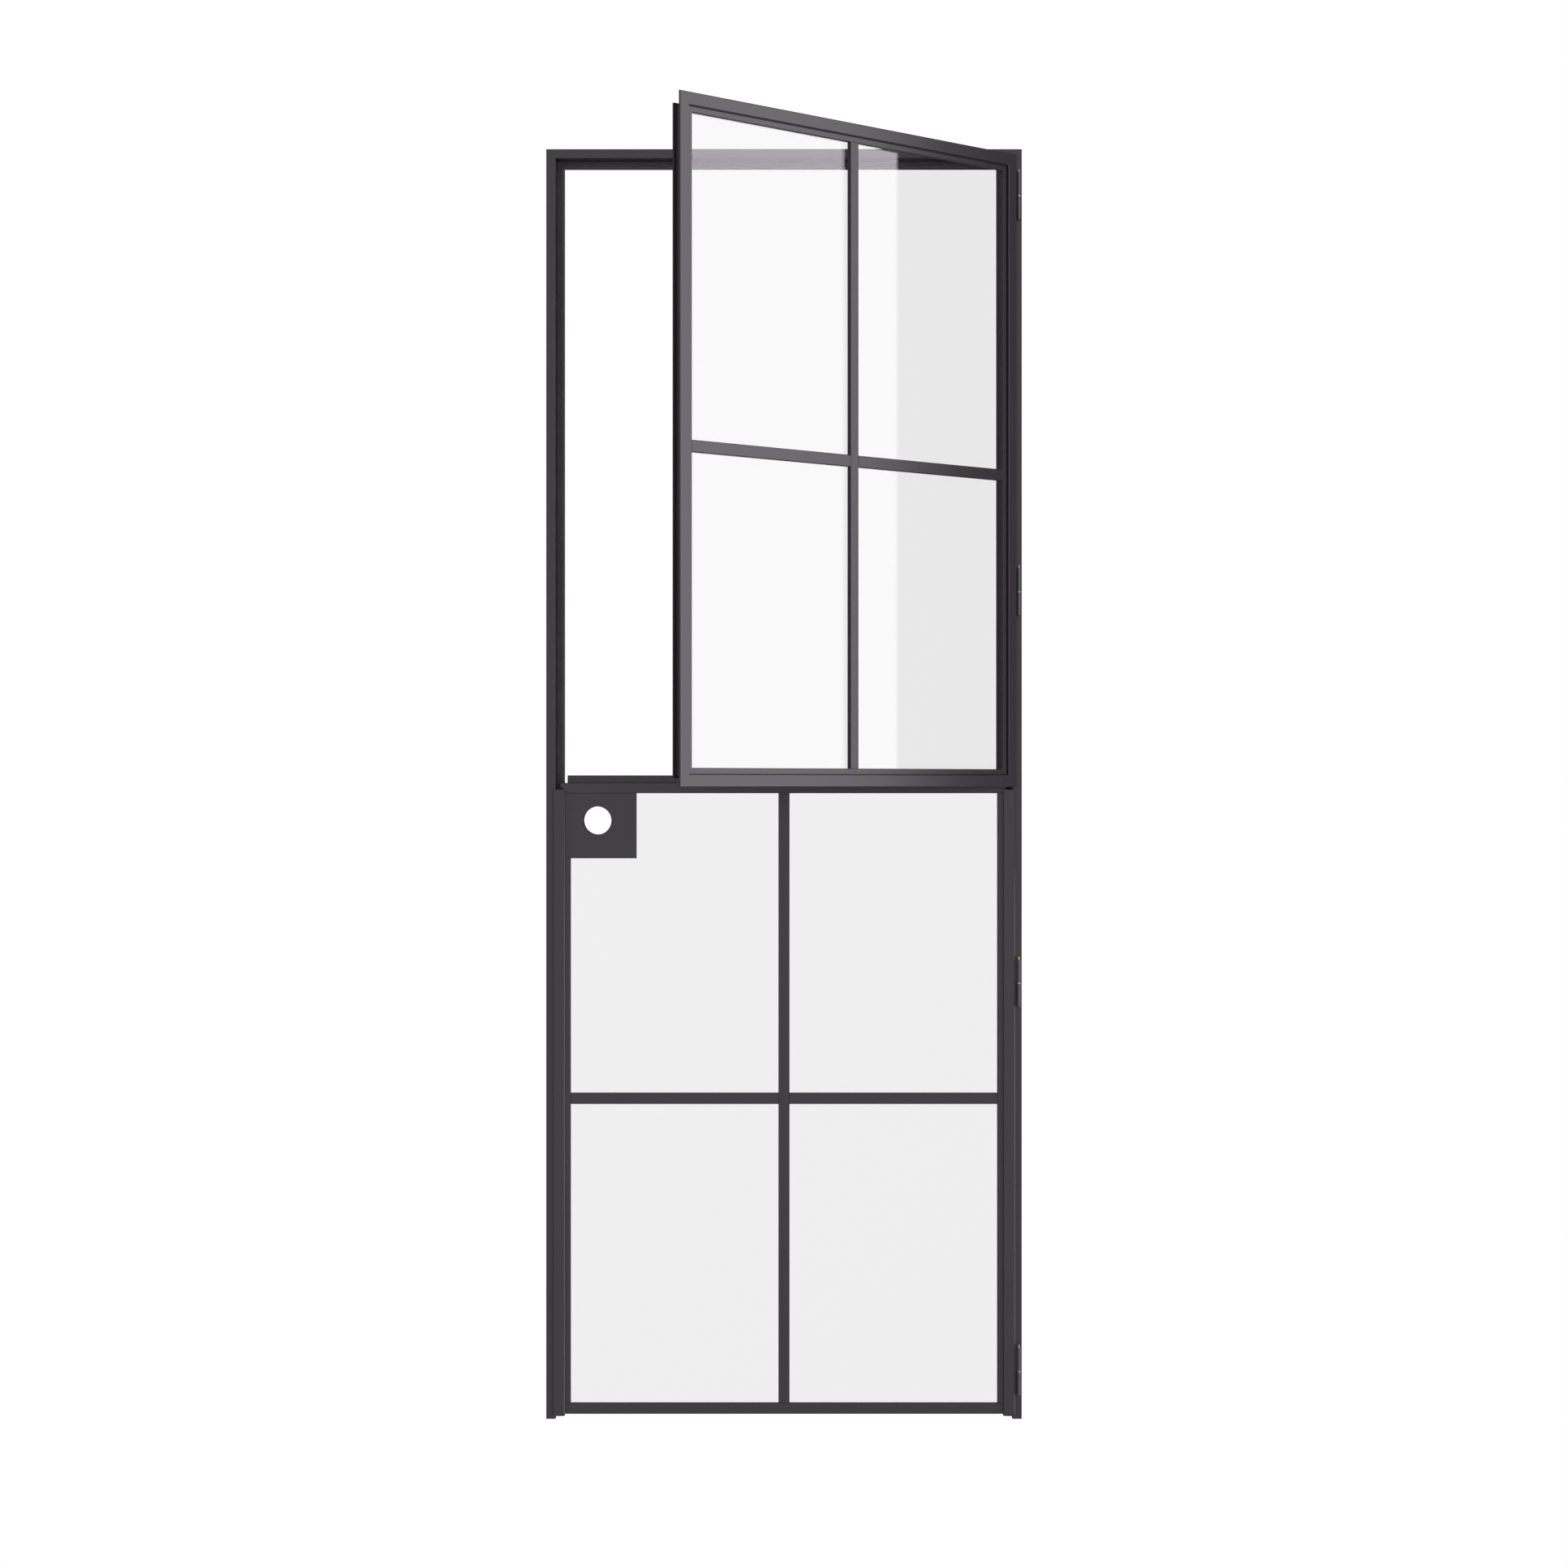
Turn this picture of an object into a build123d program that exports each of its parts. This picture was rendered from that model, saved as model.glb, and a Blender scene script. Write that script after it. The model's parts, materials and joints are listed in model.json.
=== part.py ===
"""Steel dutch door: a narrow jamb-and-head frame with two glazed leaves.

The lower leaf is closed and the upper leaf stands open. X runs across the door,
Y runs from the side that the leaves open to towards the far side, Z is up. The
origin lies on the flat outer face of the hinge jamb, halfway through its depth
and at floor level.
"""

import os

from build123d import *

# Frame
frame_width = 914.0
frame_height = 2440.0
face_width = 18.0
frame_depth = 36.0
stop_width = 16.0
stop_thickness = 3.0
frame_wall = 2.0
edge_bevel = 0.8

# Seal on the front of each stop
seal_width = 12.5
seal_base = 1.5
seal_height = 4.4
seal_rib = 1.6
seal_rib_count = 4
seal_rib_pitch = 3.15
seal_inset = 2.5

# Leaf section, measured inwards from the leaf's outer edge and back from its face
side_margin = 13.2
head_margin = 13.0
floor_gap = 9.5
flange_width = 23.0
flange_thickness = 3.0
flange_bevel = 1.4
flange_gap = 5.0
web_thickness = 3.0
upper_bead_recess = 5.0
upper_groove_width = 1.8
upper_groove_depth = 3.0
glazing_depth = 8.2
sight_width = 34.0
leaf_depth = 36.0
rear_flange_width = 7.0
rear_flange_thickness = 4.0
glass_thickness = 6.0
glass_clearance = 2.0
bar_width = 21.4
bar_bevel = 1.0
rear_bead_width = 6.0
rear_bead_depth = 10.0
rear_bead_wall = 1.5

# Where the two leaves meet
upper_leaf_bottom = 1214.25
leaf_gap = 5.0
leaf_lap = 7.85
meeting_stop_rise = 14.6
meeting_stop_thickness = 3.0
meeting_stop_end_gap = 5.0

# Rails of the lower leaf, and the heights of the cross bars above each leaf's bottom
top_rail_width = 19.9
bottom_rail_width = 21.0
rail_wall = 2.0
rail_end_reach = 8.2
upper_bar_rise = 596.3
lower_bar_rise = 606.2

# Lock box and its bores
lock_box_width = 137.4
lock_box_height = 125.0
lock_box_depth = 36.0
lock_box_wall = 2.0
lock_box_step = 6.0
lock_bore_radius = 27.0
lock_backset = 69.0
lock_drop = 72.3
latch_bore_radius = 11.0
latch_bore_setback = 20.5
bore_overrun = 1.0

# Hinges
axis_from_wall = 6.2
axis_in_front = 6.5
barrel_radius = 4.3
knuckle_height = 44.0
washer_thickness = 2.0
washer_radius = 3.9
running_gap = 0.2
pin_radius = 2.5
pin_fit = 0.05
pin_into_leaf = 34.0
pin_into_frame = 38.0
pin_end_room = 2.0
tab_thickness = 2.5
tab_reach = 12.0
pad_width = 6.0
cap_neck_radius = 1.6
cap_bulb_radius = 2.1
cap_height = 5.0
head_hinge_drop = 78.0
upper_meeting_hinge_rise = 374.6
lower_meeting_hinge_drop = 384.6
floor_hinge_rise = 82.8

upper_leaf_angle = 45.0

# Places worked out from the sizes
jamb_face = frame_width / 2
centre = -jamb_face
frame_front = -frame_depth / 2
frame_back = frame_depth / 2
stop_face = frame_back - stop_thickness
leaf_half = jamb_face - side_margin
web_half = leaf_half - flange_width
cap_half = web_half + rail_end_reach
sight_half = leaf_half - sight_width
web_outer = flange_width - web_thickness
bead_width = sight_width - flange_width
seal_rib_margin = (seal_width - (seal_rib_count - 1) * seal_rib_pitch) / 2
glass_edge = flange_width + glass_clearance
leaf_face = frame_front - flange_thickness - flange_gap
leaf_back = leaf_face + leaf_depth
upper_bead_face = leaf_face + upper_bead_recess
lower_bead_face = frame_front
lower_glass_front = lower_bead_face + glazing_depth
lower_glass_back = lower_glass_front + glass_thickness
upper_leaf_top = frame_height - head_margin
lower_leaf_top = upper_leaf_bottom + leaf_lap
lower_flange_top = upper_leaf_bottom - leaf_gap
lower_glass_bottom = floor_gap + bottom_rail_width
lower_glass_top = lower_leaf_top - top_rail_width
lower_section_bottom = lower_glass_bottom - sight_width
lower_section_top = lower_glass_top + sight_width
lower_stile_top = lower_glass_top + bead_width
lock_box_bottom = lower_glass_top - lock_box_height
lock_height = lower_leaf_top - lock_drop
lock_bore_place = -(web_half + rear_flange_width) + lock_backset
axis_x = -axis_from_wall
axis_y = frame_front - axis_in_front
washer_places = {
    "upper_head": upper_leaf_top - head_hinge_drop,
    "upper_meeting": upper_leaf_bottom + upper_meeting_hinge_rise,
    "lower_meeting": lower_leaf_top - lower_meeting_hinge_drop,
    "lower_floor": floor_gap + floor_hinge_rise,
}

parts = {}


def block(x0, x1, y0, y1, z0, z1):
    """A box between two corners, with X measured from the door's centre line."""
    size = Vector(x1 - x0, y1 - y0, z1 - z0)
    middle = Vector(centre + (x0 + x1) / 2, (y0 + y1) / 2, (z0 + z1) / 2)
    return Pos(middle) * Box(size.X, size.Y, size.Z)


def member_plane(side, half_width, bottom, top):
    """The plane of a member's section: local X points inwards, local Y points back."""
    left, right = centre - half_width, centre + half_width
    if side == "left":
        return Plane(origin=(left, 0, bottom), x_dir=(1, 0, 0), z_dir=(0, 0, 1))
    if side == "right":
        return Plane(origin=(right, 0, top), x_dir=(-1, 0, 0), z_dir=(0, 0, -1))
    if side == "top":
        return Plane(origin=(left, 0, top), x_dir=(0, 0, -1), z_dir=(1, 0, 0))
    return Plane(origin=(right, 0, bottom), x_dir=(0, 0, 1), z_dir=(-1, 0, 0))


def member(section, side, half_width, bottom, top, mitres=(True, True)):
    """Run a section along one side of a rectangle, mitred at the chosen ends."""
    across = side in ("top", "bottom")
    length = 2 * half_width if across else top - bottom
    bar = extrude(section, length)
    if mitres[0]:
        bar = split(bar, Plane(origin=(0, 0, 0), z_dir=(-1, 0, 1)), keep=Keep.TOP)
    if mitres[1]:
        bar = split(bar, Plane(origin=(0, 0, length), z_dir=(-1, 0, -1)), keep=Keep.TOP)
    return member_plane(side, half_width, bottom, top).location * bar


def outline(*points):
    """A filled polygon through points given as (inwards, back)."""
    return make_face(Polyline(*points, close=True))


def tube_outline(u0, u1, v0, v1, wall):
    """A hollow rectangle given by its limits and its wall."""
    outer = Pos((u0 + u1) / 2, (v0 + v1) / 2) * Rectangle(u1 - u0, v1 - v0)
    inner = Pos((u0 + u1) / 2, (v0 + v1) / 2) * Rectangle(u1 - u0 - 2 * wall, v1 - v0 - 2 * wall)
    return outer - inner


def bevelled(sketch, size, *corners):
    """Bevel the named corners of a section."""
    picked = [min(sketch.vertices(), key=lambda v: (v.center() - Vector(*c)).length) for c in corners]
    return chamfer(picked, size)


def frame_section():
    """Hollow jamb section with the stop standing into the opening at its back."""
    lip = face_width + stop_width
    solid = outline(
        (0, frame_front),
        (face_width, frame_front),
        (face_width, stop_face),
        (lip, stop_face),
        (lip, frame_back),
        (0, frame_back),
    )
    solid = bevelled(solid, edge_bevel, (0, frame_front), (face_width, frame_front))
    hollow_width = face_width - 2 * frame_wall
    hollow_depth = frame_depth - 2 * frame_wall
    return solid - Pos(face_width / 2, 0) * Rectangle(hollow_width, hollow_depth)


def seal_section():
    """Flat seal with ribs towards the leaf, on the front of the stop."""
    inner = face_width + stop_width - seal_inset
    base_place = Pos(inner - seal_width / 2, stop_face - seal_base / 2)
    seal = base_place * Rectangle(seal_width, seal_base)
    for index in range(seal_rib_count):
        rib_place = inner - seal_rib_margin - index * seal_rib_pitch
        seal += Pos(rib_place, stop_face - seal_height / 2) * Rectangle(seal_rib, seal_height)
    return seal


def leaf_web_section():
    """Front flange, web and rear flange of a leaf's stile, without its glazing fin."""
    rear = leaf_back - rear_flange_thickness
    foot = flange_width - rear_flange_width
    section = outline(
        (0, leaf_face),
        (flange_width, leaf_face),
        (flange_width, leaf_back),
        (foot, leaf_back),
        (foot, rear),
        (web_outer, rear),
        (web_outer, leaf_face + flange_thickness),
        (0, leaf_face + flange_thickness),
    )
    return bevelled(section, flange_bevel, (0, leaf_face), (flange_width, leaf_face))


def fin_section(bead_face):
    """Fixed glazing fin that the glass lies against from behind."""
    place = Pos((flange_width + sight_width) / 2, bead_face + glazing_depth / 2)
    section = place * Rectangle(bead_width, glazing_depth)
    return bevelled(section, edge_bevel, (sight_width, bead_face))


def upper_groove():
    """Shadow groove of the upper leaf, between its front flange and its fin."""
    middle = Pos(flange_width + upper_groove_width / 2, upper_bead_face + upper_groove_depth / 2)
    return middle * Rectangle(upper_groove_width, upper_groove_depth)


def rear_bead_section(bead_face):
    """Hollow bead that holds the glass from behind."""
    inner = flange_width + rear_bead_width
    front = bead_face + glazing_depth + glass_thickness
    return tube_outline(flange_width, inner, front, front + rear_bead_depth, rear_bead_wall)


def rail_section(width):
    """Hollow rail of the lower leaf with its glazing fin, and no front flange."""
    body = sight_width - width
    section = outline(
        (body, lower_bead_face),
        (sight_width, lower_bead_face),
        (sight_width, lower_glass_front),
        (flange_width, lower_glass_front),
        (flange_width, leaf_back),
        (body, leaf_back),
    )
    section = bevelled(section, edge_bevel, (body, lower_bead_face), (sight_width, lower_bead_face))
    middle = Pos((body + flange_width) / 2, (lower_bead_face + leaf_back) / 2)
    hollow_depth = leaf_back - lower_bead_face - 2 * rail_wall
    return section - middle * Rectangle(flange_width - body - 2 * rail_wall, hollow_depth)


def add_frame():
    """Two jambs and a head, mitred at the top, with a seal on each stop."""
    sides = {"latch": ("left", (False, True)), "hinge": ("right", (True, False))}
    for name, (side, mitres) in sides.items():
        jamb = member(frame_section(), side, jamb_face, 0, frame_height, mitres)
        seal = member(seal_section(), side, jamb_face, 0, frame_height, mitres)
        parts[f"{name}_jamb"] = jamb
        parts[f"{name}_side_seal"] = seal
    parts["head"] = member(frame_section(), "top", jamb_face, 0, frame_height)
    parts["head_seal"] = member(seal_section(), "top", jamb_face, 0, frame_height)


def glazing_bars(prefix, bead_face, bottom, top, bar_height, turn):
    """One upright bar and a cross bar on each side of it, in front of the glass."""
    half = bar_width / 2
    back = bead_face + glazing_depth
    upright = block(-half, half, bead_face, back, bottom, top)
    front = upright.edges().filter_by(Axis.Z).group_by(Axis.Y)[0]
    upright = chamfer(front, bar_bevel)
    cross = []
    for x0, x1 in ((-sight_half, -half), (half, sight_half)):
        bar = block(x0, x1, bead_face, back, bar_height - half, bar_height + half)
        front = bar.edges().filter_by(Axis.X).group_by(Axis.Y)[0]
        cross.append(chamfer(front, bar_bevel))
    parts[f"{prefix}_vertical_bar"] = turn(upright)
    parts[f"{prefix}_cross_bars"] = Compound(children=[turn(bar) for bar in cross])


def open_upper(shape):
    """Turn a piece of the upper leaf about the hinges to where it stands open."""
    return shape.rotate(Axis((axis_x, axis_y, 0), (0, 0, 1)), upper_leaf_angle)


def keep_closed(shape):
    """A piece of the lower leaf stays where it is built."""
    return shape


def add_upper_leaf():
    """Four mitred sides, one sheet of glass, its bars and the beads behind it."""
    section = leaf_web_section() + fin_section(upper_bead_face) - upper_groove()
    bead_section = rear_bead_section(upper_bead_face)
    sides = {"latch_stile": "left", "hinge_stile": "right", "top_rail": "top", "bottom_rail": "bottom"}
    for name, side in sides.items():
        stick = member(section, side, leaf_half, upper_leaf_bottom, upper_leaf_top)
        bead = member(bead_section, side, leaf_half, upper_leaf_bottom, upper_leaf_top)
        parts[f"upper_{name}"] = open_upper(stick)
        parts[f"upper_{name.split('_')[0]}_bead"] = open_upper(bead)
    half = leaf_half - glass_edge
    bottom, top = upper_leaf_bottom + glass_edge, upper_leaf_top - glass_edge
    front = upper_bead_face + glazing_depth
    parts["upper_glass"] = open_upper(block(-half, half, front, front + glass_thickness, bottom, top))
    bottom, top = upper_leaf_bottom + sight_width, upper_leaf_top - sight_width
    bar_height = upper_leaf_bottom + upper_bar_rise
    glazing_bars("upper", upper_bead_face, bottom, top, bar_height, open_upper)


def lower_stile(side, fin_top):
    """Stile of the lower leaf: its flange stops below the upper leaf's flange."""
    stile = member(leaf_web_section(), side, leaf_half, floor_gap, lower_stile_top, (False, False))
    section = fin_section(lower_bead_face)
    fin = member(section, side, leaf_half, lower_glass_bottom, fin_top, (False, False))
    notch = block(-leaf_half, leaf_half, leaf_face, lower_bead_face, lower_flange_top, lower_stile_top)
    return stile + fin - notch


def lower_rail(side, width, section_bottom, section_top):
    """Plain rail between the stiles of the lower leaf."""
    return member(rail_section(width), side, web_half, section_bottom, section_top, (False, False))


def top_rail_ends():
    """Closed ends of the top rail, which run over the tops of the stiles."""
    ends = []
    for x0, x1 in ((-cap_half, -web_half), (web_half, cap_half)):
        end = block(x0, x1, lower_bead_face, leaf_back, lower_stile_top, lower_leaf_top)
        front_top = end.edges().filter_by(Axis.X).group_by(Axis.Y)[0].sort_by(Axis.Z)[-1]
        ends.append(chamfer(front_top, edge_bevel))
    return ends


def meeting_stop():
    """Angle on the back of the top rail, which the upper leaf closes against."""
    half = jamb_face - face_width - stop_width - meeting_stop_end_gap
    foot, thick = lower_stile_top, meeting_stop_thickness
    stop = block(-half, half, leaf_back, frame_back, foot, foot + thick)
    return stop + block(-half, half, frame_back - thick, frame_back, foot, lower_leaf_top + meeting_stop_rise)


def latch_bore():
    """The round hole for the latch, through the stile's web and the side of the lock case."""
    along = centre - web_half + (lock_box_wall - web_thickness) / 2
    length = web_thickness + lock_box_wall + 2 * bore_overrun
    place = Pos(along, leaf_face + latch_bore_setback, lock_height)
    return place * Rot(0, 90, 0) * Cylinder(latch_bore_radius, length)


def lock_case():
    """Hollow case for a bored lock, open where the lock and its latch go through."""
    left, right = -web_half, -web_half + lock_box_width
    back = lower_bead_face + lock_box_depth
    top = lower_stile_top
    case_right, case_bottom = right - bead_width, lock_box_bottom + bead_width
    wall = lock_box_wall
    plate = block(left, right, lower_bead_face, lower_glass_front, lock_box_bottom, lower_glass_top)
    front = plate.edges().group_by(Axis.Y)[0]
    free_edges = [front.sort_by(Axis.X)[-1], front.sort_by(Axis.Z)[0]]
    case = chamfer(free_edges, edge_bevel)
    case += block(left, case_right, lower_glass_front, leaf_back, case_bottom, top)
    case += block(left + lock_box_step, case_right, leaf_back, back, case_bottom, top)
    inner_left, inner_right = left + wall, case_right - wall
    inner_bottom, inner_top = case_bottom + wall, lower_glass_top - wall
    inner_front = lower_bead_face + wall
    case -= block(inner_left, inner_right, inner_front, leaf_back - wall, inner_bottom, inner_top)
    deep_left = inner_left + lock_box_step
    case -= block(deep_left, inner_right, inner_front, back - wall, inner_bottom, inner_top)
    bore_middle = Vector(centre + lock_bore_place, (lower_bead_face + back) / 2, lock_height)
    lock_bore = Cylinder(lock_bore_radius, lock_box_depth + 2 * bore_overrun)
    return case - Pos(bore_middle) * Rot(90, 0, 0) * lock_bore - latch_bore()


def lower_glass():
    """One sheet of glass, notched round the lock case."""
    rim = bead_width - glass_clearance
    half = leaf_half - glass_edge
    bottom, top = lower_glass_bottom - rim, lower_glass_top + rim
    glass = block(-half, half, lower_glass_front, lower_glass_back, bottom, top)
    case_right = -web_half + lock_box_width - rim
    case_bottom = lock_box_bottom + rim
    return glass - block(-half, case_right, lower_glass_front, lower_glass_back, case_bottom, top)


def lower_beads():
    """Beads behind the lower glass, which go round the lock case."""
    section = rear_bead_section(lower_bead_face)
    ends = (lower_section_bottom, lower_section_top)
    case_right = -web_half + lock_box_width - bead_width
    case_bottom = lock_box_bottom + bead_width
    right, under = case_right + rear_bead_width, case_bottom - rear_bead_width
    front, back = lower_glass_back, lower_glass_back + rear_bead_depth
    parts["lower_hinge_bead"] = member(section, "right", leaf_half, *ends)
    parts["lower_bottom_bead"] = member(section, "bottom", leaf_half, *ends)
    parts["lower_latch_bead"] = member(
        section, "left", leaf_half, lower_section_bottom, under, (True, False)
    )
    case_space = block(-leaf_half, right, front, back, under, lower_section_top)
    parts["lower_top_bead"] = member(section, "top", leaf_half, *ends) - case_space
    across = block(-web_half, right, front, back, under, case_bottom)
    parts["lock_case_bead"] = across + block(case_right, right, front, back, under, lower_stile_top)


def add_lower_leaf():
    """Two flanged stiles, two plain rails, the meeting stop, lock case, glass, bars and beads."""
    ends = (lower_section_bottom, lower_section_top)
    parts["lower_latch_stile"] = lower_stile("left", lock_box_bottom) - latch_bore()
    parts["lower_hinge_stile"] = lower_stile("right", lower_glass_top)
    top_rail = lower_rail("top", top_rail_width, *ends)
    for end in top_rail_ends():
        top_rail += end
    parts["lower_top_rail"] = top_rail
    parts["lower_bottom_rail"] = lower_rail("bottom", bottom_rail_width, *ends)
    parts["meeting_stop"] = meeting_stop()
    parts["lock_case"] = lock_case()
    parts["lower_glass"] = lower_glass()
    bar_height = floor_gap + lower_bar_rise
    glazing_bars("lower", lower_bead_face, lower_glass_bottom, lower_glass_top, bar_height, keep_closed)
    lower_beads()


def frame_knuckle(washer_z):
    """Lower barrel half, on a pad welded to the face of the jamb."""
    top = washer_z - washer_thickness / 2
    bottom = top - knuckle_height
    half = pad_width / 2
    along = axis_x - centre
    pad = block(along - half, along + half, axis_y, frame_front, bottom, top)
    barrel = Pos(axis_x, axis_y, (bottom + top) / 2) * Cylinder(barrel_radius, knuckle_height)
    bore = Pos(axis_x, axis_y, top - pin_into_frame / 2) * Cylinder(pin_radius + pin_fit, pin_into_frame)
    return (barrel + pad) - bore


def leaf_knuckle(washer_z):
    """Upper barrel half, on a tab welded behind the leaf's flange."""
    bottom = washer_z + washer_thickness / 2 + running_gap
    top = bottom + knuckle_height
    along = axis_x - centre
    tab_face = leaf_face + flange_thickness
    tab = block(along - tab_reach, along, tab_face, tab_face + tab_thickness, bottom, top)
    depth = pin_into_leaf + pin_end_room
    barrel = Pos(axis_x, axis_y, (bottom + top) / 2) * Cylinder(barrel_radius, knuckle_height)
    return (barrel + tab) - Pos(axis_x, axis_y, bottom + depth / 2) * Cylinder(pin_radius + pin_fit, depth)


def grease_cap(washer_z):
    """Small brass cap with a bulb over a neck, on top of the upper barrel half."""
    foot = washer_z + washer_thickness / 2 + running_gap + knuckle_height
    bulb_middle = foot + cap_height - cap_bulb_radius
    neck = Pos(axis_x, axis_y, (foot + bulb_middle) / 2) * Cylinder(cap_neck_radius, bulb_middle - foot)
    return neck + Pos(axis_x, axis_y, bulb_middle) * Sphere(cap_bulb_radius)


def add_hinges():
    """Four weld-on barrel hinges with brass washers, pins and grease caps."""
    washers, pins = [], []
    caps = {"upper": [], "lower": []}
    for name, washer_z in washer_places.items():
        leaf = name.split("_")[0]
        turn = open_upper if leaf == "upper" else keep_closed
        parts[f"{name}_frame_knuckle"] = frame_knuckle(washer_z)
        parts[f"{name}_leaf_knuckle"] = turn(leaf_knuckle(washer_z))
        caps[leaf].append(turn(grease_cap(washer_z)))
        low, high = washer_z - washer_thickness / 2, washer_z + washer_thickness / 2
        washer = Cylinder(washer_radius, washer_thickness) - Cylinder(pin_radius + pin_fit, washer_thickness)
        washers.append(Pos(axis_x, axis_y, washer_z) * washer)
        pin_bottom, pin_top = low - pin_into_frame, high + running_gap + pin_into_leaf
        middle = (pin_bottom + pin_top) / 2
        pins.append(Pos(axis_x, axis_y, middle) * Cylinder(pin_radius, pin_top - pin_bottom))
    parts["hinge_washers"] = Compound(children=washers)
    parts["hinge_pins"] = Compound(children=pins)
    for leaf, pieces in caps.items():
        parts[f"{leaf}_grease_caps"] = Compound(children=pieces)


add_frame()
add_upper_leaf()
add_lower_leaf()
add_hinges()

os.makedirs("parts", exist_ok=True)
for name, shape in parts.items():
    export_step(shape, f"parts/{name}.step")
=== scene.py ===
"""Steel dutch door: finishes, ribbed seals and turned hinge parts, in a white studio."""

import json
import math

import bmesh
import bpy
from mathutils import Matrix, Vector


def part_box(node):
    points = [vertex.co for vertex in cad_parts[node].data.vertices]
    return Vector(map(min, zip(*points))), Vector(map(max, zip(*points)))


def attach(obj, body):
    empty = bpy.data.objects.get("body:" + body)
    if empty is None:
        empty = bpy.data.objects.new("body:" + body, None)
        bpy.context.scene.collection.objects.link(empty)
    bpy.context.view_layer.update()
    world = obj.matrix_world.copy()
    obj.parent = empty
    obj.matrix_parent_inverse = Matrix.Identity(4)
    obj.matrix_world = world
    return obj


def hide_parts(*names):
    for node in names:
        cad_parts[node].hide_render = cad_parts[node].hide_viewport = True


bl_info = {
    "name": "Steel dutch door",
    "version": (1, 0, 0),
    "blender": (4, 5, 0),
    "location": "3D View > Sidebar > Dutch door",
    "description": "Finishes, seals, turned hinge parts and studio of a glazed steel dutch door",
    "category": "Object",
}

MM = 0.001

# Points nearer than this are merged, and a turned part has this many faces round its axis.
WELD = 0.001 * MM
TURN_STEPS = 40

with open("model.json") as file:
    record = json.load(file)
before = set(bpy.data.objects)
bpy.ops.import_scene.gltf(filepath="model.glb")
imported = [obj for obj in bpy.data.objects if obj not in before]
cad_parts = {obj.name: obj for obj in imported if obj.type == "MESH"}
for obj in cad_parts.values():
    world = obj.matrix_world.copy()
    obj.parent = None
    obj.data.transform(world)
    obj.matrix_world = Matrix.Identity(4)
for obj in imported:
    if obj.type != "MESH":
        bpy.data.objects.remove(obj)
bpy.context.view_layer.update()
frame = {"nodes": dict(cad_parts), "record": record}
SLOT_OF_NODE = {part["node"]: part["material_slot"] for part in frame["record"]["subparts"]}

FRAME_LOW, FRAME_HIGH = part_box("head")
DOOR_CENTRE = (FRAME_LOW.x + FRAME_HIGH.x) / 2
FRAME_FRONT = FRAME_LOW.y
SIDE_SEAL_LOW, SIDE_SEAL_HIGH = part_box("latch_side_seal")
HEAD_SEAL_LOW, HEAD_SEAL_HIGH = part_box("head_seal")

# The hinges, from the top down, each with the leaf that it carries.
HINGES = {
    "upper_head": "upper",
    "upper_meeting": "upper",
    "lower_meeting": "lower",
    "lower_floor": "lower",
}

# The panels at the right, one over the other: how far they stand from the door's centre, their
# front and rear edges from the frame's front, and their heights over the floor, all in metres.
# The open leaf mirrors the rear edge of the upper one, so it is bright up to there and then dark.
SIDE_PANEL_FRONT = -2.8
SIDE_PANELS = {
    "upper_side_panel": {"away": 1.6, "rear": -0.184, "low": 1.0, "high": 3.2},
    "lower_side_panel": {"away": 1.6, "rear": 0.12, "low": -0.5, "high": 1.0},
}

# A slim tube light hangs just before the upper panel, where the open glass mirrors it over the
# head of the frame. It lights the glass alone: satin paint would smear it over the top rail.
TUBE_LIGHT = {"away": 1.595, "rear": -0.184, "low": 2.603, "high": 2.651}

# Where the soft glow behind the camera is, and the cosine at which it has faded.
GLOW_DIRECTION = (-0.45, -0.82, 0.36)
GLOW_EDGE = 0.3

# The soft boxes are a touch purple, as their reflections in the powder coat show.
LIGHT_TINT = (0.985, 0.945, 1.0)

FLOOR_REACH = 30.0
SENSOR_WIDTH = 36.0

# Inputs that describe a seal's section, the same in both seal node trees.
SEAL_SOCKETS = {
    "Width": "Float",
    "Height": "Float",
    "Base": "Float",
    "First Rib": "Float",
    "Rib Count": "Int",
    "Rib Pitch": "Float",
    "Rib Width": "Float",
}


def linear(hex_colour):
    """Turn an sRGB hex colour such as 444244 into linear light."""
    channels = [int(hex_colour[place:place + 2], 16) / 255 for place in (0, 2, 4)]
    return tuple(c / 12.92 if c <= 0.04045 else ((c + 0.055) / 1.055) ** 2.4 for c in channels)


class DutchDoorFinishes(bpy.types.PropertyGroup):
    """Colours and surface values of the door's materials."""

    paint_colour: bpy.props.FloatVectorProperty(
        name="Powder coat", description="Colour of the charcoal powder coat",
        subtype="COLOR", size=3, min=0, max=1, default=linear("262327"))
    paint_roughness: bpy.props.FloatProperty(
        name="Powder coat roughness", description="How satin the powder coat is",
        subtype="FACTOR", min=0, max=1, default=0.24)
    peel_size: bpy.props.FloatProperty(
        name="Orange peel", description="Width of one wave of the powder coat's surface",
        unit="LENGTH", min=0.0005, default=2.2 * MM)
    rubber_colour: bpy.props.FloatVectorProperty(
        name="Seal rubber", description="Colour of the extruded rubber seals",
        subtype="COLOR", size=3, min=0, max=1, default=linear("666566"))
    washer_colour: bpy.props.FloatVectorProperty(
        name="Washer brass", description="Colour of the pale brass of the turned washers",
        subtype="COLOR", size=3, min=0, max=1, default=linear("cac0b2"))
    cap_colour: bpy.props.FloatVectorProperty(
        name="Cap brass", description="Colour of the yellower brass of the grease caps",
        subtype="COLOR", size=3, min=0, max=1, default=linear("c6b69c"))
    steel_colour: bpy.props.FloatVectorProperty(
        name="Pin steel", description="Colour of the ground steel pins",
        subtype="COLOR", size=3, min=0, max=1, default=linear("b9babc"))
    glass_colour: bpy.props.FloatVectorProperty(
        name="Glass", description="Tint of the clear float glass",
        subtype="COLOR", size=3, min=0, max=1, default=linear("f3f3f3"))


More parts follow.
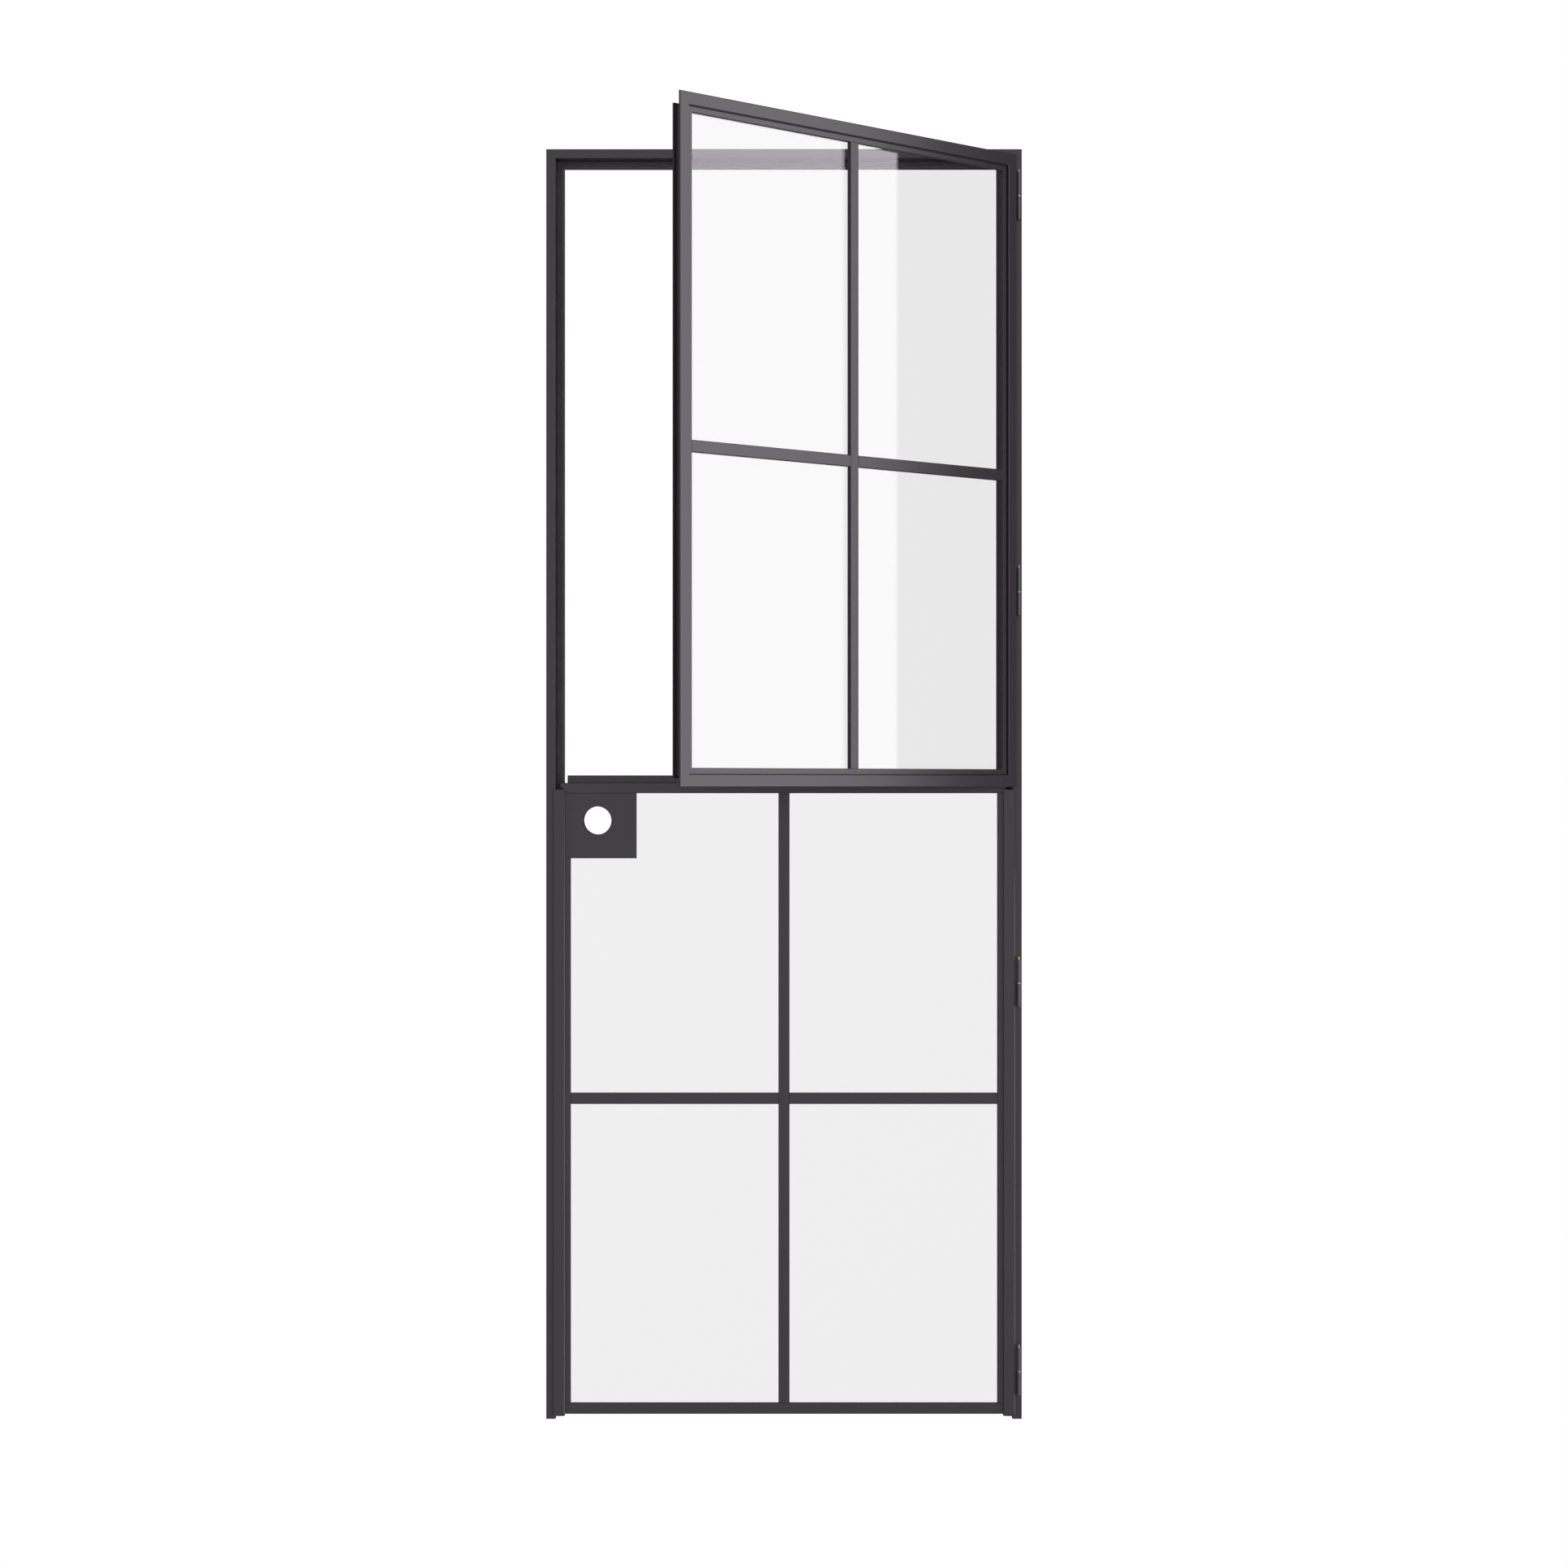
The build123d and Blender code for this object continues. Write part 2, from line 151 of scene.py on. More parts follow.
class DutchDoorSeals(bpy.types.PropertyGroup):
    """Section of the extruded seals on the frame's stops."""

    width: bpy.props.FloatProperty(
        name="Width", description="Width of the seal across its stop",
        unit="LENGTH", min=0, default=SIDE_SEAL_HIGH.x - SIDE_SEAL_LOW.x)
    height: bpy.props.FloatProperty(
        name="Height", description="From the stop to the tips of the ribs",
        unit="LENGTH", min=0, default=SIDE_SEAL_HIGH.y - SIDE_SEAL_LOW.y)
    base: bpy.props.FloatProperty(
        name="Base", description="Thickness of the strip that carries the ribs",
        unit="LENGTH", min=0, default=1.5 * MM)
    rib_count: bpy.props.IntProperty(
        name="Ribs", description="Number of ribs side by side", min=1, default=4)
    rib_pitch: bpy.props.FloatProperty(
        name="Rib pitch", description="From the middle of one rib to the next",
        unit="LENGTH", min=0, default=3.15 * MM)
    rib_width: bpy.props.FloatProperty(
        name="Rib width", description="Thickness of one rib",
        unit="LENGTH", min=0, default=1.6 * MM)


class DutchDoorHinges(bpy.types.PropertyGroup):
    """Turned brass parts of the barrel hinges."""

    washer_radius: bpy.props.FloatProperty(
        name="Washer radius", description="Outer radius of the brass washers",
        unit="LENGTH", min=0, default=3.9 * MM)
    washer_bore: bpy.props.FloatProperty(
        name="Washer bore", description="Radius of the hole for the pin",
        unit="LENGTH", min=0, default=2.55 * MM)
    running_gap: bpy.props.FloatProperty(
        name="Running gap", description="Between a washer and the barrel half above it",
        unit="LENGTH", min=0, default=0.2 * MM)
    cap_height: bpy.props.FloatProperty(
        name="Cap height", description="Height of the grease cap over its barrel",
        unit="LENGTH", min=0, default=6.8 * MM)
    cap_foot: bpy.props.FloatProperty(
        name="Cap foot", description="Radius of the grease cap's flared foot",
        unit="LENGTH", min=0, default=2.6 * MM)
    cap_neck: bpy.props.FloatProperty(
        name="Cap neck", description="Radius of the grease cap's neck",
        unit="LENGTH", min=0, default=1.8 * MM)
    cap_bulb: bpy.props.FloatProperty(
        name="Cap bulb", description="Radius of the grease cap's rounded top",
        unit="LENGTH", min=0, default=2.2 * MM)


class DutchDoorStudio(bpy.types.PropertyGroup):
    """Camera, floor and lights."""

    distance: bpy.props.FloatProperty(
        name="Camera distance", description="From the camera to the front of the frame",
        unit="LENGTH", default=6.7)
    height: bpy.props.FloatProperty(
        name="Camera height", description="Height of the level camera above the floor",
        unit="LENGTH", default=1.22)
    lens: bpy.props.FloatProperty(
        name="Lens", description="Focal length on a 36 mm wide sensor",
        unit="CAMERA", default=80.05)
    side_light: bpy.props.FloatProperty(
        name="Side light", description="Brightness of the panels at the right",
        min=0, default=1.54)
    tube_light: bpy.props.FloatProperty(
        name="Tube light", description="Brightness of the slim light mirrored in the glass",
        min=0, default=2.36)
    front_light: bpy.props.FloatProperty(
        name="Front light", description="Brightness of the glow behind the camera",
        min=0, default=0.63)
    surroundings: bpy.props.FloatProperty(
        name="Surroundings", description="Brightness of the rest of the studio",
        min=0, default=0.08)


def add_node(tree, kind, settings=None, **inputs):
    """Add a node, set its properties, and set or link its inputs by name, or by place as i0."""
    node = tree.nodes.new(kind)
    for name, value in (settings or {}).items():
        setattr(node, name, value)
    for name, value in inputs.items():
        place = int(name[1:]) if name[0] == "i" and name[1:].isdigit() else name.replace("_", " ")
        socket = node.inputs[place]
        if isinstance(value, bpy.types.NodeSocket):
            tree.links.new(value, socket)
        else:
            socket.default_value = value
    return node


def new_material(name):
    """An empty node material and its tree."""
    material = bpy.data.materials.new(name)
    material.use_nodes = True
    material.node_tree.nodes.clear()
    return material, material.node_tree


def powder_coat(finishes):
    """Charcoal powder coat on steel, sprayed and baked."""
    # It gives the eye a smooth dark satin that mirrors bright panels softly, with faint waves.
    peel_depth = 0.1 * MM
    # The film's thickness drifts over a hand's width, which shifts tone and gloss a little.
    film_drift = 160 * MM
    tone_shift, gloss_shift = 0.06, 0.03
    # A plain resin has an IOR of 1.5, and this coat's strong sheen needs more.
    sheen_ior = 1.8
    material, tree = new_material("satin_charcoal_powder_coat")
    place = add_node(tree, "ShaderNodeTexCoord").outputs["Object"]
    peel = add_node(tree, "ShaderNodeTexNoise", Vector=place, Scale=1 / finishes.peel_size,
                    Detail=2.0, Roughness=0.5)
    drift = add_node(tree, "ShaderNodeTexNoise", Vector=place, Scale=1 / film_drift,
                     Detail=3.0, Roughness=0.6)
    tone = add_node(tree, "ShaderNodeMapRange", Value=drift.outputs["Fac"],
                    To_Min=1 - tone_shift, To_Max=1 + tone_shift)
    colour = add_node(tree, "ShaderNodeVectorMath", {"operation": "SCALE"},
                      i0=finishes.paint_colour, Scale=tone.outputs[0])
    gloss = add_node(tree, "ShaderNodeMapRange", Value=drift.outputs["Fac"],
                     To_Min=finishes.paint_roughness - gloss_shift,
                     To_Max=finishes.paint_roughness + gloss_shift)
    bump = add_node(tree, "ShaderNodeBump", Strength=0.06, Distance=peel_depth,
                    Height=peel.outputs["Fac"])
    shader = add_node(tree, "ShaderNodeBsdfPrincipled", Base_Color=colour.outputs[0],
                      Roughness=gloss.outputs[0], IOR=sheen_ior, Normal=bump.outputs[0])
    add_node(tree, "ShaderNodeOutputMaterial", Surface=shader.outputs[0])
    return material


def seal_rubber(finishes):
    """Extruded black rubber, with a little dust on it."""
    # It gives the eye a matt, dusty grey on the ribs, black between them, and no clear highlight.
    dust_patch, tone_shift = 30 * MM, 0.15
    # The real grain is finer than a tenth of a millimetre, and is drawn coarser to show at all.
    grain_size, grain_depth = 0.6 * MM, 0.05 * MM
    material, tree = new_material("extruded_black_rubber")
    place = add_node(tree, "ShaderNodeTexCoord").outputs["Object"]
    dust = add_node(tree, "ShaderNodeTexNoise", Vector=place, Scale=1 / dust_patch,
                    Detail=3.0, Roughness=0.6)
    tone = add_node(tree, "ShaderNodeMapRange", Value=dust.outputs["Fac"],
                    To_Min=1 - tone_shift, To_Max=1 + tone_shift)
    colour = add_node(tree, "ShaderNodeVectorMath", {"operation": "SCALE"},
                      i0=finishes.rubber_colour, Scale=tone.outputs[0])
    grain = add_node(tree, "ShaderNodeTexNoise", Vector=place, Scale=1 / grain_size, Detail=2.0)
    bump = add_node(tree, "ShaderNodeBump", Strength=0.15, Distance=grain_depth,
                    Height=grain.outputs["Fac"])
    shader = add_node(tree, "ShaderNodeBsdfPrincipled", Base_Color=colour.outputs[0],
                      Roughness=0.55, IOR=1.52, Normal=bump.outputs[0])
    add_node(tree, "ShaderNodeOutputMaterial", Surface=shader.outputs[0])
    return material


def turned_metal(name, colour, roughness, line_pitch):
    """A metal turned or ground on a lathe, with a tool line every line_pitch along its axis."""
    # It gives the eye a bright body colour, with a highlight that the fine lines round it soften.
    line_depth = 0.05 * MM
    material, tree = new_material(name)
    place = add_node(tree, "ShaderNodeTexCoord").outputs["Object"]
    # A wave texture's bands repeat every 1 / (20 x scale) along Z.
    lines = add_node(tree, "ShaderNodeTexWave", {"bands_direction": "Z"}, Vector=place,
                     Scale=1 / (20 * line_pitch), Distortion=2.0, Detail=1.0)
    # The lines' valleys are painted a little darker than their crests, as painted shade in the
    # grooves.
    tone = add_node(tree, "ShaderNodeMapRange", Value=lines.outputs["Fac"], To_Min=0.92, To_Max=1.0)
    valley_shaded_colour = add_node(tree, "ShaderNodeVectorMath", {"operation": "SCALE"}, i0=colour,
                      Scale=tone.outputs[0])
    bump = add_node(tree, "ShaderNodeBump", Strength=0.1, Distance=line_depth,
                    Height=lines.outputs["Fac"])
    shader = add_node(tree, "ShaderNodeBsdfPrincipled", Base_Color=valley_shaded_colour.outputs[0], Metallic=1.0,
                      Roughness=roughness, Normal=bump.outputs[0])
    add_node(tree, "ShaderNodeOutputMaterial", Surface=shader.outputs[0])
    return material


def float_glass(finishes):
    """Clear float glass, fire-polished on both sides."""
    # It gives the eye sharp, clean reflections, and a faint grey where white shows through.
    haze_patch, most_haze = 250 * MM, 0.008
    material, tree = new_material("clear_float_glass")
    place = add_node(tree, "ShaderNodeTexCoord").outputs["Object"]
    haze = add_node(tree, "ShaderNodeTexNoise", Vector=place, Scale=1 / haze_patch, Detail=2.0)
    gloss = add_node(tree, "ShaderNodeMapRange", Value=haze.outputs["Fac"],
                     To_Min=0.0, To_Max=most_haze)
    shader = add_node(tree, "ShaderNodeBsdfPrincipled", Base_Color=(*finishes.glass_colour, 1.0),
                      Roughness=gloss.outputs[0], IOR=1.5, Transmission_Weight=1.0)
    add_node(tree, "ShaderNodeOutputMaterial", Surface=shader.outputs[0])
    return material


def dress(material, slot):
    """Give a material to every CAD node of one material slot."""
    for node, node_slot in SLOT_OF_NODE.items():
        if node_slot == slot:
            slots = frame["nodes"][node].data.materials
            slots.clear()
            slots.append(material)


def add_object(name, mesh):
    """Put a mesh in the scene as an object at the origin."""
    piece = bpy.data.objects.new(name, mesh)
    bpy.context.scene.collection.objects.link(piece)
    return piece


def new_tree(name, sockets):
    """An empty geometry node tree with named inputs, given as name to kind, and their sockets."""
    tree = bpy.data.node_groups.new(name, "GeometryNodeTree")
    tree.interface.new_socket("Geometry", in_out="OUTPUT", socket_type="NodeSocketGeometry")
    for socket, kind in sockets.items():
        tree.interface.new_socket(socket, in_out="INPUT", socket_type=f"NodeSocket{kind}")
    return tree, add_node(tree, "NodeGroupInput").outputs


def set_inputs(modifier, **values):
    """Set a geometry node modifier's inputs, found by name and set by identifier."""
    for item in modifier.node_group.interface.items_tree:
        key = item.name.replace(" ", "_")
        if item.in_out == "INPUT" and key in values:
            modifier[item.identifier] = values.pop(key)
    if values:
        raise KeyError(f"no such inputs: {sorted(values)}")


def grown(name, tree, start=None, **values):
    """Run a node tree and return its result as an object with a plain mesh."""
    piece = add_object(name, start or bpy.data.meshes.new(name))
    modifier = piece.modifiers.new(name, "NODES")
    modifier.node_group = tree
    set_inputs(modifier, **values)
    evaluated = piece.evaluated_get(bpy.context.evaluated_depsgraph_get())
    result = bpy.data.meshes.new_from_object(evaluated)
    result.name = name
    piece.modifiers.remove(modifier)
    piece.data = result
    return piece


def round_cornered(tree, width, height, radius, middle):
    """A filled rectangle with rounded corners about a middle, in the XY plane."""
    corners = add_node(tree, "GeometryNodeCurvePrimitiveQuadrilateral", Width=width, Height=height)
    rounded = add_node(tree, "GeometryNodeFilletCurve", {"mode": "POLY"}, Curve=corners.outputs[0],
                       Count=4, Radius=radius, Limit_Radius=True)
    moved = add_node(tree, "GeometryNodeTransform", Geometry=rounded.outputs[0], Translation=middle)
    filled = add_node(tree, "GeometryNodeFillCurve", {"mode": "NGONS"}, Curve=moved.outputs[0])
    return filled.outputs[0]


def seal_run_tree():
    """One straight run of the seal: X inwards from the jamb, Y back to the stop, Z along.

    A slope is the rise of that end for each metre inwards, which cuts its mitre.
    """
    corner = 0.3 * MM
    tree, given = new_tree("seal_run", {
        "Length": "Float", "Foot Slope": "Float", "Top Slope": "Float", **SEAL_SOCKETS})
    strip_size = add_node(tree, "ShaderNodeCombineXYZ", X=given["Width"], Y=given["Base"])
    strip_middle = add_node(tree, "ShaderNodeVectorMath", {"operation": "MULTIPLY"},
                            i0=strip_size.outputs[0], i1=(0.5, -0.5, 0.0))
    strip = round_cornered(tree, given["Width"], given["Base"], corner, strip_middle.outputs[0])

    rib_size = add_node(tree, "ShaderNodeCombineXYZ", X=given["Rib Width"], Y=given["Height"])
    rib_middle = add_node(tree, "ShaderNodeVectorMath", {"operation": "MULTIPLY"},
                          i0=rib_size.outputs[0], i1=(0.0, -0.5, 0.0))
    rib = round_cornered(tree, given["Rib Width"], given["Height"], corner, rib_middle.outputs[0])
    first = add_node(tree, "ShaderNodeCombineXYZ", X=given["First Rib"])
    step = add_node(tree, "ShaderNodeCombineXYZ", X=given["Rib Pitch"])
    row = add_node(tree, "GeometryNodeMeshLine", Count=given["Rib Count"],
                   Start_Location=first.outputs[0], Offset=step.outputs[0])
    ribs = add_node(tree, "GeometryNodeInstanceOnPoints", Points=row.outputs[0], Instance=rib)
    real_ribs = add_node(tree, "GeometryNodeRealizeInstances", Geometry=ribs.outputs[0])
    section = add_node(tree, "GeometryNodeJoinGeometry")
    tree.links.new(strip, section.inputs[0])
    tree.links.new(real_ribs.outputs[0], section.inputs[0])

    # The section is sheared to the foot's slope and pulled up, and its top is sheared to its own.
    position = add_node(tree, "GeometryNodeInputPosition")
    inwards = add_node(tree, "ShaderNodeSeparateXYZ", Vector=position.outputs[0]).outputs["X"]
    foot_rise = add_node(tree, "ShaderNodeMath", {"operation": "MULTIPLY"}, i0=inwards,
                         i1=given["Foot Slope"])
    foot_shift = add_node(tree, "ShaderNodeCombineXYZ", Z=foot_rise.outputs[0])
    foot = add_node(tree, "GeometryNodeSetPosition", Geometry=section.outputs[0],
                    Offset=foot_shift.outputs[0])
    along = add_node(tree, "ShaderNodeCombineXYZ", Z=given["Length"])
    pulled = add_node(tree, "GeometryNodeExtrudeMesh", Mesh=foot.outputs[0],
                      Offset=along.outputs[0], Individual=False)
    slope_change = add_node(tree, "ShaderNodeMath", {"operation": "SUBTRACT"},
                            i0=given["Top Slope"], i1=given["Foot Slope"])
    top_rise = add_node(tree, "ShaderNodeMath", {"operation": "MULTIPLY"}, i0=inwards,
                        i1=slope_change.outputs[0])
    top_shift = add_node(tree, "ShaderNodeCombineXYZ", Z=top_rise.outputs[0])
    sides = add_node(tree, "GeometryNodeSetPosition", Geometry=pulled.outputs["Mesh"],
                     Selection=pulled.outputs["Top"], Offset=top_shift.outputs[0])
    # The pulled sides are open below, and the foot, turned over, closes them.
    under = add_node(tree, "GeometryNodeFlipFaces", Mesh=foot.outputs[0])
    closed = add_node(tree, "GeometryNodeJoinGeometry")
    tree.links.new(sides.outputs[0], closed.inputs[0])
    tree.links.new(under.outputs[0], closed.inputs[0])
    welded = add_node(tree, "GeometryNodeMergeByDistance", Geometry=closed.outputs[0],
                      Distance=WELD)
    add_node(tree, "NodeGroupOutput", Geometry=welded.outputs[0])
    return tree


def seals_tree():
    """The seal up the latch side, across the head and down the hinge side, in mitred runs."""
    tree, given = new_tree("ribbed_seals", {
        "Jamb Length": "Float", "Head Length": "Float", **SEAL_SOCKETS,
        "Latch Foot": "Vector", "Latch Top": "Vector", "Hinge Top": "Vector", "Rubber": "Material"})
    run = seal_run_tree()
    section = {name.replace(" ", "_"): given[name] for name in SEAL_SOCKETS}
    # Corner that the run starts from, its turn about Y, its length and the slopes of its two ends.
    sides = (
        ("Latch Foot", 0.0, "Jamb Length", 0.0, -1.0),
        ("Latch Top", math.pi / 2, "Head Length", 1.0, -1.0),
        ("Hinge Top", math.pi, "Jamb Length", 1.0, 0.0),
    )
    joined = add_node(tree, "GeometryNodeJoinGeometry")
    for corner, turn, length, foot_slope, top_slope in sides:
        straight = add_node(tree, "GeometryNodeGroup", {"node_tree": run}, Length=given[length],
                            Foot_Slope=foot_slope, Top_Slope=top_slope, **section)
        placed = add_node(tree, "GeometryNodeTransform", Geometry=straight.outputs[0],
                          Translation=given[corner], Rotation=(0.0, turn, 0.0))
        tree.links.new(placed.outputs[0], joined.inputs[0])
    real = add_node(tree, "GeometryNodeRealizeInstances", Geometry=joined.outputs[0])
    covered = add_node(tree, "GeometryNodeSetMaterial", Geometry=real.outputs[0],
                       Material=given["Rubber"])
    add_node(tree, "NodeGroupOutput", Geometry=covered.outputs[0])
    return tree


def turned_part(name, outline):
    """Turn a closed outline of (radius, height) points about Z; a radius of 0 is a pole."""
    mesh = bpy.data.meshes.new(name)
    built = bmesh.new()
    points = [built.verts.new((radius, 0.0, height)) for radius, height in outline]
    edges = [built.edges.new((a, b)) for a, b in zip(points, points[1:])]
    if outline[0][0] > 0:
        edges.append(built.edges.new((points[-1], points[0])))
    bmesh.ops.spin(built, geom=points + edges, axis=(0, 0, 1), cent=(0, 0, 0),
                   angle=2 * math.pi, steps=TURN_STEPS)
    bmesh.ops.remove_doubles(built, verts=built.verts, dist=WELD)
    bmesh.ops.recalc_face_normals(built, faces=built.faces)
    built.to_mesh(mesh)
    built.free()
    return mesh


def arc(radius, x, z, start, end, steps):
    """Points on an arc about (x, z), with its angles in degrees from the outward direction."""
    angles = [math.radians(start + (end - start) * step / steps) for step in range(steps + 1)]
    return [(x + radius * math.cos(angle), z + radius * math.sin(angle)) for angle in angles]


def washer_outline(hinges, thickness):
    """Flat washer with softened rims, standing on z = 0."""
    soft = 0.3 * MM
    inner, outer = hinges.washer_bore, hinges.washer_radius
    lower_rim = arc(soft, outer - soft, soft, -90, 0, 4)
    upper_rim = arc(soft, outer - soft, thickness - soft, 0, 90, 4)
    return [(inner, 0), *lower_rim, *upper_rim, (inner, thickness)]


def cap_outline(hinges):
    """Grease cap on z = 0: a flared foot over a low rim, a neck and a rounded bulb."""
    rim = 0.6 * MM
    foot, neck, bulb, height = hinges.cap_foot, hinges.cap_neck, hinges.cap_bulb, hinges.cap_height
    under = -math.degrees(math.acos(neck / bulb))
    return [(0, 0), (foot, 0), (foot, rim), (neck, rim + foot - neck),
            *arc(bulb, 0, height - bulb, under, 90, 12)[:-1], (0, height)]


def copies_tree():
    """One part stood on each of the points given."""
    tree, given = new_tree("copies", {"Points": "Geometry", "Part": "Object", "Metal": "Material"})
    part = add_node(tree, "GeometryNodeObjectInfo", Object=given["Part"])
    stood = add_node(tree, "GeometryNodeInstanceOnPoints", Points=given["Points"],
                     Instance=part.outputs["Geometry"])
    real = add_node(tree, "GeometryNodeRealizeInstances", Geometry=stood.outputs[0])
    smooth = add_node(tree, "GeometryNodeSetShadeSmooth", Geometry=real.outputs[0])
    covered = add_node(tree, "GeometryNodeSetMaterial", Geometry=smooth.outputs[0],
                       Material=given["Metal"])
    add_node(tree, "NodeGroupOutput", Geometry=covered.outputs[0])
    return tree


def stand_copies(name, tree, mesh, places, metal):
    """Copies of a turned part at several places, as one piece."""
    points = bpy.data.meshes.new(f"{name}_places")
    points.from_pydata(places, [], [])
    part = add_object(f"{name}_part", mesh)
    piece = grown(name, tree, points, Part=part, Metal=metal)
    bpy.data.objects.remove(part)
    return piece


class DUTCHDOOR_OT_powder_coat(bpy.types.Operator):
    """Give the frame, both leaves and the barrels their powder coat"""

    bl_idname = "dutchdoor.powder_coat"
    bl_label = "Powder coat"

    def execute(self, context):
        dress(powder_coat(context.scene.dutch_door_finishes), "charcoal_paint")
        return {"FINISHED"}


class DUTCHDOOR_OT_glass(bpy.types.Operator):
    """Give both sheets of glass their finish"""

    bl_idname = "dutchdoor.glass"
    bl_label = "Glass"

    def execute(self, context):
        dress(float_glass(context.scene.dutch_door_finishes), "clear_glass")
        return {"FINISHED"}


class DUTCHDOOR_OT_seals(bpy.types.Operator):
    """Fit the ribbed rubber seals to the stops of the frame"""

    bl_idname = "dutchdoor.seals"
    bl_label = "Seals"

    def execute(self, context):
        rubber = seal_rubber(context.scene.dutch_door_finishes)
        dress(rubber, "black_seal")
        sizes = context.scene.dutch_door_seals
        stop = HEAD_SEAL_HIGH.y
        left, right, top = HEAD_SEAL_LOW.x, HEAD_SEAL_HIGH.x, HEAD_SEAL_HIGH.z
        first_rib = (sizes.width - (sizes.rib_count - 1) * sizes.rib_pitch) / 2
        seals = grown(
            "ribbed_seals", seals_tree(), Jamb_Length=top, Head_Length=right - left,
            Width=sizes.width, Height=sizes.height, Base=sizes.base, First_Rib=first_rib,
            Rib_Count=sizes.rib_count, Rib_Pitch=sizes.rib_pitch, Rib_Width=sizes.rib_width,
            Latch_Foot=(left, stop, 0.0), Latch_Top=(left, stop, top), Hinge_Top=(right, stop, top),
            Rubber=rubber)
        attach(seals, "frame")
        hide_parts("latch_side_seal", "head_seal", "hinge_side_seal")
        return {"FINISHED"}


class DUTCHDOOR_OT_hinge_metal(bpy.types.Operator):
    """Fit the turned brass washers and grease caps, and give the pins their steel"""

    bl_idname = "dutchdoor.hinge_metal"
    bl_label = "Hinge metal"

    def execute(self, context):
        finishes = context.scene.dutch_door_finishes
        hinges = context.scene.dutch_door_hinges
        # The washers look a pale, dull brass, the caps a warmer one, and the pins a neutral steel.
        brass_roughness, brass_feed = 0.3, 0.3 * MM
        steel_roughness, steel_feed = 0.28, 0.2 * MM
        washer_brass = turned_metal(
            "turned_pale_brass", finishes.washer_colour, brass_roughness, brass_feed)
        cap_brass = turned_metal(
            "turned_yellow_brass", finishes.cap_colour, brass_roughness, brass_feed)
        pin_steel = turned_metal(
            "ground_pin_steel", finishes.steel_colour, steel_roughness, steel_feed)
        dress(washer_brass, "brass")
        dress(pin_steel, "hinge_steel")

        on_frame, on_leaf = [], {"upper": [], "lower": []}
        for hinge, leaf in HINGES.items():
            low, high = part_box(f"{hinge}_frame_knuckle")
            leaf_low, leaf_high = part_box(f"{hinge}_leaf_knuckle")
            radius = (high.x - low.x) / 2
            axis = (low.x + radius, low.y + radius)
            on_frame.append((*axis, high.z))
            on_leaf[leaf].append((*axis, leaf_high.z))
        # The space between the barrel's halves is the same at every hinge.
        thickness = leaf_low.z - high.z - hinges.running_gap

        tree = copies_tree()
        washer = turned_part("washer", washer_outline(hinges, thickness))
        washers = stand_copies("turned_washers", tree, washer, on_frame, washer_brass)
        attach(washers, "frame")
        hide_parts("hinge_washers")
        for leaf, places in on_leaf.items():
            cap = turned_part(f"{leaf}_cap", cap_outline(hinges))
            caps = stand_copies(f"{leaf}_turned_caps", tree, cap, places, cap_brass)
            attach(caps, f"{leaf}_leaf")
            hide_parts(f"{leaf}_grease_caps")
        return {"FINISHED"}


def bounced_light(tree):
    """1 for light that has glanced off a surface, 0 for what is seen straight or through glass."""
    path = add_node(tree, "ShaderNodeLightPath").outputs
    glances = add_node(tree, "ShaderNodeMath", i0=path["Glossy Depth"], i1=path["Diffuse Depth"])
    bounced = add_node(tree, "ShaderNodeMath", {"operation": "MINIMUM"}, i0=glances.outputs[0],
                       i1=1.0)
    return bounced.outputs[0]


def white_floor():
    """Matt white studio floor."""
    # It gives the eye plain white, lit so evenly that it shows no shade and no horizon.
    material, tree = new_material("white_studio_floor")
    glow = add_node(tree, "ShaderNodeEmission", Color=(1.0, 1.0, 1.0, 1.0), Strength=1.0)
    clear = add_node(tree, "ShaderNodeBsdfTransparent")
    mix = add_node(tree, "ShaderNodeMixShader", i0=bounced_light(tree), i1=glow.outputs[0],
                   i2=clear.outputs[0])
    add_node(tree, "ShaderNodeOutputMaterial", Surface=mix.outputs[0])
    return material


def studio_surroundings(studio):
    """White behind the door; for reflections, a soft glow in front of it and dusk all round."""
    world = bpy.data.worlds.new("white_studio")
    world.use_nodes = True
    tree = world.node_tree
    tree.nodes.clear()
    direction = add_node(tree, "ShaderNodeTexCoord").outputs["Generated"]
    towards = add_node(tree, "ShaderNodeVectorMath", {"operation": "DOT_PRODUCT"}, i0=direction,
                       i1=Vector(GLOW_DIRECTION).normalized())
    strength = add_node(tree, "ShaderNodeMapRange", {"interpolation_type": "SMOOTHSTEP"},
                        Value=towards.outputs["Value"], From_Min=GLOW_EDGE, From_Max=1.0,
                        To_Min=studio.surroundings, To_Max=studio.front_light)
    glow = add_node(tree, "ShaderNodeBackground", Color=(*LIGHT_TINT, 1.0),
                    Strength=strength.outputs[0])
    white = add_node(tree, "ShaderNodeBackground", Color=(1.0, 1.0, 1.0, 1.0), Strength=1.0)
    mix = add_node(tree, "ShaderNodeMixShader", i0=bounced_light(tree), i1=white.outputs[0],
                   i2=glow.outputs[0])
    add_node(tree, "ShaderNodeOutputWorld", Surface=mix.outputs[0])
    return world


def side_panel(name, radiance, away, rear, low, high):
    """A lit panel at the right, as bright as its radiance when it is seen in a mirror."""
    depth, height = rear - SIDE_PANEL_FRONT, high - low
    data = bpy.data.lights.new(name, "AREA")
    data.shape = "RECTANGLE"
    data.size, data.size_y = depth, height
    data.energy = radiance * math.pi * depth * height
    data.color = LIGHT_TINT
    light = bpy.data.objects.new(name, data)
    middle = FRAME_FRONT + (SIDE_PANEL_FRONT + rear) / 2
    light.location = (DOOR_CENTRE + away, middle, (low + high) / 2)
    light.rotation_euler = Vector((-1, 0, 0)).to_track_quat("-Z", "Y").to_euler()
    light.visible_camera = False
    bpy.context.scene.collection.objects.link(light)
    return light


